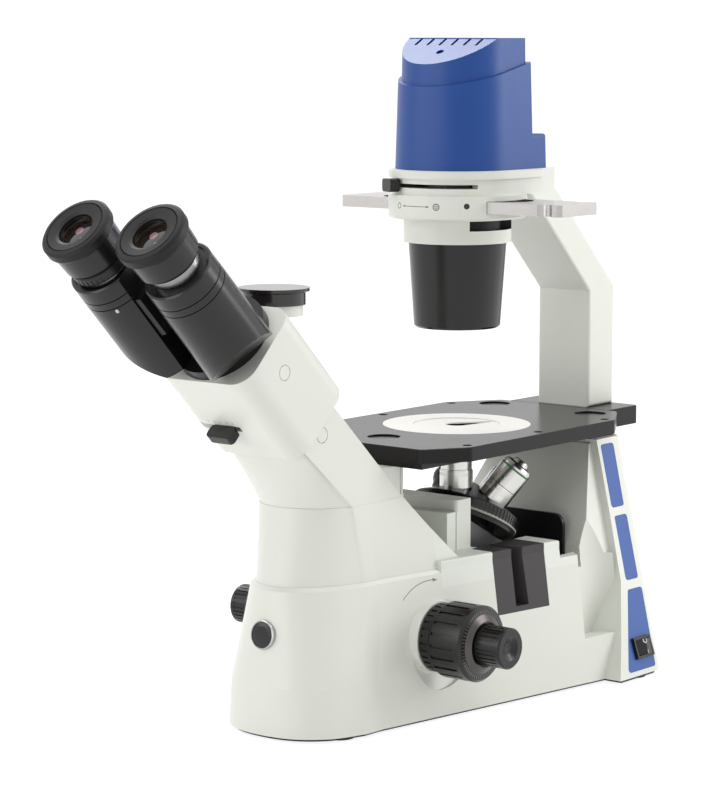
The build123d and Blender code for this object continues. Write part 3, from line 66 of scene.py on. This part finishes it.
# Shader helpers
class Socket:
    """A shader output that takes Python arithmetic."""

    def __init__(self, graph, output):
        self.graph = graph
        self.output = output

    def __add__(self, other):
        return self.graph.maths("ADD", self, other)

    __radd__ = __add__

    def __sub__(self, other):
        return self.graph.maths("SUBTRACT", self, other)

    def __rsub__(self, other):
        return self.graph.maths("SUBTRACT", other, self)

    def __mul__(self, other):
        return self.graph.maths("MULTIPLY", self, other)

    __rmul__ = __mul__

    def __pow__(self, other):
        return self.graph.maths("POWER", self, other)

    def __abs__(self):
        return self.graph.maths("ABSOLUTE", self)

    def __mod__(self, other):
        return self.graph.maths("FLOORED_MODULO", self, other)

    def __or__(self, other):
        return self.graph.maths("MAXIMUM", self, other)

    def __gt__(self, other):
        return self.graph.maths("GREATER_THAN", self, other)

    def __lt__(self, other):
        return self.graph.maths("LESS_THAN", self, other)


def within(value, low, high):
    """1 where a value is between two others."""
    return (value > low) * (value < high)


def stroke(value, centre, half_width):
    """1 where a value is near a centre line."""
    return abs(value - centre) < half_width


def union(masks):
    """1 where any of the masks is 1."""
    joined = masks[0]
    for mask in masks[1:]:
        joined = joined | mask
    return joined


class Graph:
    """The node tree of one material, with a Principled shader already in it."""

    def __init__(self, name):
        self.material = bpy.data.materials.new(name)
        self.material.use_nodes = True
        self.tree = self.material.node_tree
        self.shader = self.tree.nodes["Principled BSDF"]
        self.place = self.node("ShaderNodeTexCoord", "Object")

    def node(self, kind, output, settings=(), inputs=()):
        """Adds a node, sets its options and inputs, and gives back one output."""
        made = self.tree.nodes.new(kind)
        for name, value in dict(settings).items():
            setattr(made, name, value)
        for name, value in dict(inputs).items():
            self.feed(made.inputs[name], value)
        return Socket(self, made.outputs[output])

    def feed(self, target, value):
        if isinstance(value, Socket):
            self.tree.links.new(value.output, target)
        else:
            target.default_value = value

    def maths(self, operation, first, second=0.0):
        return self.node("ShaderNodeMath", 0, {"operation": operation}, {0: first, 1: second})

    def vector(self, operation, output, first, second):
        settings = {"operation": operation}
        return self.node("ShaderNodeVectorMath", output, settings, {0: first, 1: second})

    def mix(self, factor, first, second):
        """A colour between two others: sockets 6 and 7 are the colours, and 2 gives the result."""
        inputs = {"Factor": factor, 6: first, 7: second}
        return self.node("ShaderNodeMix", 2, {"data_type": "RGBA"}, inputs)

    def noise(self, scale, detail=3.0):
        inputs = {"Vector": self.place, "Scale": scale, "Detail": detail}
        return self.node("ShaderNodeTexNoise", "Fac", inputs=inputs)

    def rings(self, distance, scale):
        """Fine irregular lines across a distance."""
        inputs = {"W": distance, "Scale": scale, "Detail": 2.0}
        return self.node("ShaderNodeTexNoise", "Fac", {"noise_dimensions": "1D"}, inputs)

    def bump(self, height, strength):
        inputs = {"Height": height, "Strength": strength, "Distance": GRAIN_DEPTH}
        self.put(Normal=self.node("ShaderNodeBump", "Normal", inputs=inputs))

    def put(self, **values):
        """Sets inputs of the shader: an underscore stands for a space in their names."""
        for name, value in values.items():
            self.feed(self.shader.inputs[name.replace("_", " ")], value)


class Turning:
    """Height, distance and angle about an axis through a piece."""

    def __init__(self, graph, centre, direction, zero):
        direction = Vector(direction).normalized()
        zero = Vector(zero).normalized()
        away = graph.vector("SUBTRACT", "Vector", graph.place, tuple(centre))
        self.height = graph.vector("DOT_PRODUCT", "Value", away, tuple(direction))
        self.across = graph.vector("DOT_PRODUCT", "Value", away, tuple(zero))
        self.up = graph.vector("DOT_PRODUCT", "Value", away, tuple(direction.cross(zero)))
        self.radius = self.reach(0.0, 0.0)
        self.angle = graph.maths("ARCTAN2", self.up, self.across) * (180 / pi)

    def reach(self, across, up):
        """The distance from a line beside the axis."""
        return ((self.across - across) ** 2 + (self.up - up) ** 2) ** 0.5


def rgb(red, painted_green_glint, blue):
    """A colour from 0 to 255 display values, in linear light by the sRGB curve."""
    parts = [value / 255 for value in (red, painted_green_glint, blue)]
    linear = [v / 12.92 if v <= 0.04045 else ((v + 0.055) / 1.055) ** 2.4 for v in parts]
    return tuple(linear) + (1.0,)


def shade(colour, share):
    return tuple(channel * share for channel in colour[:3]) + (1.0,)


WHITE = rgb(221, 223, 215)
INK = rgb(52, 52, 54)
SOFT_INK = rgb(120, 121, 120)
GREEN = rgb(58, 120, 74)
BLUE = rgb(70, 110, 180)
YELLOW = rgb(205, 180, 70)


def surface(name, colour, rough, metal=0.0, coat=0.0, grain=GRAIN_SCALE, relief=0.12, tone=0.06,
            marks=None, shine=0.5):
    """Paint, plastic or metal with a fine grain, faint stains and an uneven gloss.

    The marks are pairs of a mask and a colour, laid over the ground colour in turn.
    """
    graph = Graph(name)
    broad = graph.noise(STAIN_SCALE, 4.0)
    fine = graph.noise(grain, 2.0)
    ground = graph.mix(broad, colour, shade(colour, 1 - tone))
    for mask, ink in marks(graph) if marks else ():
        ground = graph.mix(mask, ground, ink)
    graph.put(Base_Color=ground, Roughness=rough * GLOSS_FROM + broad * rough * GLOSS_RANGE,
              Metallic=metal, Coat_Weight=coat, Coat_Roughness=COAT_ROUGHNESS,
              Specular_IOR_Level=shine)
    graph.bump(fine, relief)
    return graph


def paint(name, marks=None):
    """The white paint of the castings."""
    return surface(name, WHITE, 0.42, coat=0.15, relief=0.05, tone=0.03, marks=marks)


def turned(name, colour, rough, axis, centre=ORIGIN, relief=0.1, bands=()):
    """Turned metal with fine rings across its axis.

    The bands are painted: each has its lower and upper height on the axis, and its colour.
    """
    graph = Graph(name)
    turning = Turning(graph, centre, axis, RIGHT)
    lines = graph.rings(turning.height, TOOL_LINE_SCALE)
    broad = graph.noise(SMEAR_SCALE)
    ground = graph.mix(broad, colour, shade(colour, SMEAR_SHADE))
    metal = 1.0
    for low, high, ink in bands:
        band = within(turning.height, low, high)
        ground = graph.mix(band, ground, ink)
        metal = metal * (1 - band)
    uneven = rough + lines * TOOL_LINE_GLOSS + broad * SMEAR_GLOSS
    graph.put(Base_Color=ground, Metallic=metal, Roughness=uneven)
    graph.bump(lines, relief)
    return graph


# Printed marks and worn places
def base_marks(graph):
    """A curved arrow beside the knob, for the way that the tension ring tightens."""
    knob = Turning(graph, KNOB_CENTRE, RIGHT, BACK)
    right_side = knob.height > 0.03
    bow_radius, bow_start, bow_end, line = 0.0395, 84.0, 133.0, 0.00032
    tip, barbs, spread = 79.0, 86.0, 0.0002
    bow = stroke(knob.radius, bow_radius, line) * within(knob.angle, bow_start, bow_end)
    point_width = (knob.angle - tip) * spread
    point = within(knob.angle, tip, barbs) * stroke(knob.radius, bow_radius, point_width)
    return [((bow | point) * right_side, SOFT_INK)]


def ring_marks(graph):
    """Open and closed aperture signs joined by an arrow, and a grub screw's hole."""
    ring = Turning(graph, (0.0, 0.0, 0.3590), UP, RIGHT)
    outside = ring.radius > 0.045
    outer_radius = 0.0507

    def along_from(angle):
        return (ring.angle - angle) * (outer_radius * pi / 180)

    def reach_from(angle, height):
        return (along_from(angle) ** 2 + (ring.height - height) ** 2) ** 0.5

    open_at, open_radius, closed_at, closed_radius, line = -108.7, 0.0019, -70.5, 0.0023, 0.00028
    blade_radius, blade_line = 0.0009, 0.0002
    blade_sweep, blade_pitch, blade_width = 26000.0, 60.0, 14.0
    reach = reach_from(closed_at, 0.0)
    turn = graph.maths("ARCTAN2", ring.height, along_from(closed_at)) * (180 / pi)
    swept = (turn + reach * blade_sweep) % blade_pitch
    signs = [stroke(reach_from(open_at, 0.0), open_radius, line),
             stroke(reach, closed_radius, line), stroke(reach, blade_radius, blade_line),
             within(reach, blade_radius, closed_radius) * (swept < blade_width)]

    left_tip, right_tip, shaft_line, point_length, spread = -103.5, -77.0, 0.00022, 2.2, 0.00038
    arrow = [stroke(ring.height, 0.0, shaft_line) * within(ring.angle, left_tip, right_tip)]
    for back in (ring.angle - left_tip, right_tip - ring.angle):
        arrow.append(within(back, 0.0, point_length) * (abs(ring.height) < back * spread))

    screw_at, screw_height, screw_radius = -45.4, 0.0007, 0.0021
    hole = reach_from(screw_at, screw_height) < screw_radius
    return [(union(signs + arrow) * outside, INK), (hole * outside, rgb(18, 17, 18))]


def head_marks(graph):
    """Plain position ticks over the light path knob."""
    up_the_tube = 0.0955 * SLOPE
    centre = (-0.008, -0.1627 - up_the_tube, 0.160 + up_the_tube)
    head = Turning(graph, centre, (0.0, -SLOPE, -SLOPE), RIGHT)
    first, last, pitch, width = -0.0135, 0.0105, 0.0055, 0.0005
    ticks = within(head.across, first, last) * (((head.across - first) % pitch) < width)
    front = head.height > 0.0
    return [(ticks * within(head.up, 0.0090, 0.0116) * front, SOFT_INK)]


def switch_marks(graph):
    """The on and off signs of the rocker."""
    rocker = Turning(graph, (0.0973, 0.104, 0.023), (0.948, 0.0, 0.317), BACK)
    line = 0.0004
    circle = stroke(rocker.reach(0.0, 0.0045), 0.0019, line)
    bar = stroke(rocker.across, 0.0, line) * within(rocker.up, -0.0068, -0.0028)
    return [((circle | bar) * (rocker.height > 0.0), rgb(205, 206, 208))]


def knob_marks(graph):
    """Fine division marks on both faces of the coarse knobs, and a paler ring inside them."""
    knob = Turning(graph, KNOB_CENTRE, RIGHT, BACK)
    pitch, width = 6.0, 1.3
    ticks = within(knob.radius, 0.0215, 0.0243) * (((knob.angle + 180.0) % pitch) < width)
    pale_ring = within(knob.radius, 0.0150, 0.0185)
    return [(ticks * (abs(knob.height) > 0.09), rgb(120, 116, 112)),
            (pale_ring * (abs(knob.height) > 0.0985), rgb(96, 92, 90))]


def turret_marks(graph):
    """Worn bare metal on the turret's lower lip."""
    turret = Turning(graph, TURRET_CENTRE, TURRET_AXIS, RIGHT)
    return [((turret.height < -0.0169) * (turret.radius > 0.030), rgb(172, 168, 160))]


# Looks of the material slots
body_paint = paint("body_paint")
housing_plastic = surface("housing_plastic", rgb(225, 228, 220), 0.5, relief=0.1, tone=0.03)
black_metal = surface("black_metal", rgb(24, 22, 23), 0.3, relief=0.1, shine=0.35)
black_plastic = surface("black_plastic", rgb(22, 20, 20), 0.3, relief=0.2, shine=0.35)
black_satin = surface("black_satin", rgb(20, 18, 19), 0.24, relief=0.06, shine=0.4)
rubber = surface("rubber", rgb(19, 18, 19), 0.45, relief=0.3, shine=0.26)
stage_black = surface("stage_black", rgb(16, 13, 12), 0.24, relief=0.04, shine=0.24)
lamp_blue = surface("lamp_blue", rgb(16, 66, 140), 0.38, relief=0.06, shine=0.4)
inlay_blue = surface("inlay_blue", rgb(50, 88, 160), 0.45, relief=0.25, grain=900.0, shine=0.4)
insert_metal = surface("insert_metal", rgb(232, 230, 224), 0.25, relief=0.05)
slider_metal = surface("slider_metal", rgb(184, 181, 178), 0.26, metal=1.0, relief=0.1)
steel = surface("steel", rgb(110, 110, 112), 0.3, metal=1.0)
carriage = surface("carriage", rgb(96, 95, 97), 0.4, metal=0.6)
dark_plastic = surface("dark_plastic", rgb(52, 48, 49), 0.42, relief=0.2, shine=0.4)
silver_ring = turned("silver_ring", rgb(150, 149, 150), 0.18, EYETUBE_AXIS)
chrome = turned("chrome", rgb(205, 205, 203), 0.16, UP)

glass = Graph("lens_glass")
glass_tint = glass.mix(glass.noise(60.0), rgb(46, 40, 60), rgb(64, 52, 70))
glass.put(Base_Color=glass_tint, Roughness=0.04, Coat_Weight=1.0)
mirror = Graph("mirror")
mirror_tint = mirror.mix(mirror.noise(40.0), rgb(224, 227, 230), rgb(214, 218, 222))
mirror.put(Base_Color=mirror_tint, Metallic=1.0, Roughness=0.03)

looks = {
    "body_paint": body_paint, "housing_plastic": housing_plastic, "black_metal": black_metal,
    "rubber": rubber, "badge": black_metal, "black_plastic": black_plastic,
    "black_satin": black_satin, "silver_ring": silver_ring, "eyecup_rubber": rubber,
    "lens_glass": glass, "stage_black": stage_black, "steel": steel, "insert_metal": insert_metal,
    "slider_metal": slider_metal, "ring_glass": glass, "lamp_blue": lamp_blue,
    "heat_sink": slider_metal, "dark_plastic": dark_plastic, "carriage_grey": carriage,
    "objective_chrome": chrome, "mirror": mirror, "inlay_blue": inlay_blue,
    "switch_black": black_satin,
}


# Looks of single nodes, which come before that of their slot
def eye_glass(name, side):
    """A coated eye lens in its silver ring, with pink and green glints as painted reflections."""
    graph = Graph(name)
    lens = Turning(graph, (side * 0.0327, -0.339477, 0.336777), EYETUBE_AXIS, RIGHT)
    rim = lens.radius > 0.0098
    # Painted reflections: a pink glint and a green glint laid on the dark lens
    painted_pink_glint = lens.reach(-0.002, 0.0026) < 0.0030
    painted_green_glint = lens.reach(0.0035, -0.0035) < 0.0012
    ground = graph.mix(painted_pink_glint, rgb(34, 26, 26), rgb(150, 112, 120))
    ground = graph.mix(painted_green_glint, ground, rgb(110, 140, 120))
    # The rim's warm gold tint is partly the ring's metal and partly a painted reflection of the
    # inner barrel
    ground = graph.mix(rim, ground, rgb(190, 170, 140))
    graph.put(Base_Color=ground, Metallic=rim, Roughness=rim * 0.2 + 0.05, Coat_Weight=1.0)
    return graph


def objective_look(name, station, bands):
    """A barrel turned about its own leaning axis, at a quarter of the turret."""
    tilt, around = radians(OBJECTIVE_TILT), radians(90 * station)
    outward = Vector(RIGHT) * sin(around) - TURRET_AXIS.cross(RIGHT) * cos(around)
    seat = TURRET_CENTRE + outward * OBJECTIVE_RADIUS
    lean = outward * sin(tilt) + TURRET_AXIS * cos(tilt)
    return turned(name, rgb(214, 213, 210), 0.14, lean, seat, 0.08, bands)


low_bands = ((0.0235, 0.0250, YELLOW), (0.0135, 0.0138, INK))
medium_bands = ((0.0270, 0.0285, GREEN), (0.0125, 0.0129, INK))
high_bands = ((0.0275, 0.0290, BLUE), (0.0125, 0.0129, INK))
special = {
    "base_casting": paint("base_paint", base_marks),
    "aperture_ring": paint("ring_paint", ring_marks),
    "head_casting": paint("head_paint", head_marks),
    "power_switch": surface("rocker", rgb(20, 19, 20), 0.28, relief=0.05, marks=switch_marks,
                            shine=0.4),
    "coarse_knobs": surface("coarse_grip", rgb(22, 20, 20), 0.28, relief=0.15, marks=knob_marks,
                            shine=0.4),
    "nosepiece_turret": surface("turret_metal", rgb(26, 24, 24), 0.26, relief=0.1,
                                marks=turret_marks),
    "port_cap": surface("cap_grey", rgb(32, 29, 28), 0.2, coat=0.3, relief=0.06),
    "right_eye_lens": eye_glass("right_eye_glass", 1),
    "left_eye_lens": eye_glass("left_eye_glass", -1),
    "objective_low": objective_look("low_barrel", 0, low_bands),
    "objective_medium": objective_look("medium_barrel", 1, medium_bands),
    "objective_high": objective_look("high_barrel", 2, high_bands),
}
for entry in frame["record"]["subparts"]:
    look = special.get(entry["node"], looks[entry["material_slot"]])
    nodes[entry["node"]].data.materials.clear()
    nodes[entry["node"]].data.materials.append(look.material)


# Trim that the solids leave plain
def model(name, shape, *materials):
    """Makes an object of a finished bmesh, at the origin."""
    mesh = bpy.data.meshes.new(name)
    shape.to_mesh(mesh)
    shape.free()
    for look in materials:
        mesh.materials.append(look.material)
    made = bpy.data.objects.new(name, mesh)
    scene.collection.objects.link(made)
    return made


def spin_profile(points, centre, direction, steps=96):
    """A closed turned shape, from pairs of a radius and a height along a direction."""
    shape = bmesh.new()
    loop = [shape.verts.new((radius, 0.0, height)) for radius, height in points]
    edges = [shape.edges.new(pair) for pair in zip(loop, loop[1:] + loop[:1])]
    bmesh.ops.spin(shape, geom=loop + edges, cent=ORIGIN, axis=UP, angle=2 * pi, steps=steps,
                   use_merge=True)
    bmesh.ops.remove_doubles(shape, verts=shape.verts, dist=1e-6)
    bmesh.ops.recalc_face_normals(shape, faces=shape.faces)
    turn = Vector(direction).to_track_quat("Z", "Y").to_matrix().to_4x4()
    bmesh.ops.transform(shape, matrix=Matrix.Translation(centre) @ turn, verts=shape.verts)
    return shape


# The badge is a black dome in a silver rim
rim_metal = turned("rim_metal", rgb(186, 185, 184), 0.2, BADGE_FACING, BADGE_CENTRE, 0.05)
rim = spin_profile([(0.0092, 0.0005), (0.0103, 0.0005), (0.0103, 0.0030), (0.0099, 0.0038),
                    (0.0094, 0.0040), (0.0092, 0.0038)], BADGE_CENTRE, BADGE_FACING)
badge_rim = model("badge_rim", rim, rim_metal)
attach(badge_rim, "stand")

badge_dome = spin_profile([(0.0, 0.0010), (0.0091, 0.0010), (0.0091, 0.0034), (0.0060, 0.0038),
                           (0.0, 0.0040)], BADGE_CENTRE, BADGE_FACING)
badge_black = surface("badge_black", rgb(26, 25, 26), 0.22, relief=0.04, shine=0.4)
badge_piece = model("badge_dome", badge_dome, badge_black)
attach(badge_piece, "stand")
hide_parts("front_badge")

# A satin cone fills the face of each coarse knob round the fine knob
cone_metal = turned("cone_metal", rgb(84, 80, 79), 0.2, RIGHT, KNOB_CENTRE)
for side, name in ((1, "right"), (-1, "left")):
    cone = spin_profile([(0.0158, 0.0985), (0.0212, 0.0985), (0.0212, 0.1002), (0.0168, 0.1030),
                         (0.0158, 0.1030)], KNOB_CENTRE, (side, 0.0, 0.0))
    cone_piece = model(name + "_knob_cone", cone, cone_metal)
    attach(cone_piece, "coarse_body")

# A small screw on the left prism housing
hinge_screw = bmesh.new()
bmesh.ops.create_icosphere(hinge_screw, subdivisions=3, radius=0.0017,
                           matrix=Matrix.Translation((-0.0199, -0.3369, 0.3049)))
screw_piece = model("hinge_screw", hinge_screw, rim_metal)
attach(screw_piece, "left_eye")

# The condenser collar, with its filter slot towards the right
COLLAR_LOW, COLLAR_HIGH, COLLAR_IN, COLLAR_OUT = 0.3312, 0.3489, 0.0200, 0.0395
SLOT_LOW, SLOT_HIGH, SLOT_HALF_ANGLE, SLOT_INWARD = 0.3409, 0.3480, 41, 0.80
SLOT_EDGE, MARGIN = 0.038, 0.0004
collar = spin_profile([(COLLAR_IN, COLLAR_LOW), (COLLAR_OUT, COLLAR_LOW), (COLLAR_OUT, SLOT_LOW),
                       (COLLAR_OUT, SLOT_HIGH), (COLLAR_OUT, COLLAR_HIGH),
                       (COLLAR_IN, COLLAR_HIGH)], ORIGIN, UP, 144)
slot_faces = []
for face in collar.faces:
    middle = face.calc_center_median()
    outer = middle.xy.length > SLOT_EDGE and SLOT_LOW < middle.z < SLOT_HIGH
    if outer and abs(degrees(atan2(middle.y, middle.x))) < SLOT_HALF_ANGLE:
        slot_faces.append(face)
grown = bmesh.ops.extrude_face_region(collar, geom=slot_faces)
inner = [item for item in grown["geom"] if isinstance(item, bmesh.types.BMVert)]
bmesh.ops.delete(collar, geom=slot_faces, context="FACES_ONLY")
for vertex in inner:
    vertex.co.xy *= SLOT_INWARD
for face in collar.faces:
    nearest = min(vertex.co.xy.length for vertex in face.verts)
    height = face.calc_center_median().z
    if nearest < SLOT_EDGE and SLOT_LOW - MARGIN < height < SLOT_HIGH + MARGIN:
        face.material_index = 1
bmesh.ops.recalc_face_normals(collar, faces=collar.faces)
slot_black = surface("slot_black", rgb(16, 15, 15), 0.5, relief=0.1, shine=0.3)
collar_piece = model("collar", collar, paint("collar_paint"), slot_black)
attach(collar_piece, "stand")
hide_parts("condenser_collar")


# Camera
LOOKS_DOWN, HEADING = 7.593, 39.383
camera_data = bpy.data.cameras.new("camera")
camera_data.lens = 127.12
camera_data.sensor_width = 36.0
camera_data.clip_end = 50.0
camera = bpy.data.objects.new("camera", camera_data)
camera.location = (1.25354, -1.64895, 0.48943)
camera.rotation_euler = (radians(90 - LOOKS_DOWN), 0.0, radians(HEADING))
scene.collection.objects.link(camera)
scene.camera = camera


# Floor and backdrop, which show whiter than the light that they give
def showing_rays(tree):
    """1 for the rays that show a thing: straight, mirrored or through glass."""
    rays = tree.nodes.new("ShaderNodeLightPath")
    shown = rays.outputs["Is Camera Ray"]
    for kind in ("Is Glossy Ray", "Is Transmission Ray"):
        either = tree.nodes.new("ShaderNodeMath")
        either.operation = "MAXIMUM"
        tree.links.new(shown, either.inputs[0])
        tree.links.new(rays.outputs[kind], either.inputs[1])
        shown = either.outputs[0]
    return shown


PAPER_GLOW, PAPER_SHARE, AMBIENT_GLOW, BACKDROP_GLOW = 1.42, 0.62, 0.5, 1.04
floor_look = Graph("floor")
floor_look.put(Base_Color=(0.93, 0.93, 0.93, 1.0), Roughness=0.9)
lit = Socket(floor_look, floor_look.shader.outputs[0])
paper = floor_look.node("ShaderNodeEmission", 0,
                        inputs={"Color": (1.0, 1.0, 1.0, 1.0), "Strength": PAPER_GLOW})
paper_share = Socket(floor_look, showing_rays(floor_look.tree)) * PAPER_SHARE
floor_sum = floor_look.node("ShaderNodeMixShader", 0, inputs={0: paper_share, 1: lit, 2: paper})
floor_look.feed(floor_look.tree.nodes["Material Output"].inputs["Surface"], floor_sum)

sheet = bmesh.new()
bmesh.ops.create_grid(sheet, x_segments=1, y_segments=1, size=12.0)
floor = model("floor", sheet, floor_look)

world = bpy.data.worlds.new("studio")
scene.world = world
world.use_nodes = True
tree = world.node_tree
ambient = tree.nodes["Background"]
ambient.inputs["Color"].default_value = (1.0, 1.0, 0.98, 1.0)
ambient.inputs["Strength"].default_value = AMBIENT_GLOW
backdrop = tree.nodes.new("ShaderNodeBackground")
backdrop.inputs["Color"].default_value = (1.0, 1.0, 1.0, 1.0)
backdrop.inputs["Strength"].default_value = BACKDROP_GLOW
choice = tree.nodes.new("ShaderNodeMixShader")
tree.links.new(showing_rays(tree), choice.inputs[0])
tree.links.new(ambient.outputs[0], choice.inputs[1])
tree.links.new(backdrop.outputs[0], choice.inputs[2])
tree.links.new(choice.outputs[0], tree.nodes["World Output"].inputs["Surface"])


# Lights
def area_light(name, where, target, size, power):
    data = bpy.data.lights.new(name, "AREA")
    data.shape = "RECTANGLE"
    data.size, data.size_y = size
    data.energy = power
    lamp = bpy.data.objects.new(name, data)
    lamp.location = where
    lamp.rotation_euler = (Vector(target) - Vector(where)).to_track_quat("-Z", "Y").to_euler()
    scene.collection.objects.link(lamp)


area_light("soft_top", (0.2, -0.3, 2.2), target=(0.0, 0.0, 0.2), size=(2.0, 2.0), power=19.0)
area_light("soft_left", (-1.3, -1.7, 1.2), target=(0.0, -0.1, 0.25), size=(0.9, 1.6), power=12.0)
area_light("soft_front", (-0.2, -2.2, 0.45), target=(0.0, -0.1, 0.1), size=(1.4, 0.5), power=6.0)
area_light("soft_right", (1.25, 1.15, 0.95), target=(0.0, 0.0, 0.42), size=(0.9, 1.2), power=16.0)
area_light("soft_back", (-1.25, 0.65, 1.75), target=(0.0, 0.0, 0.4), size=(0.9, 0.9), power=15.0)

scene.view_settings.view_transform = "Standard"
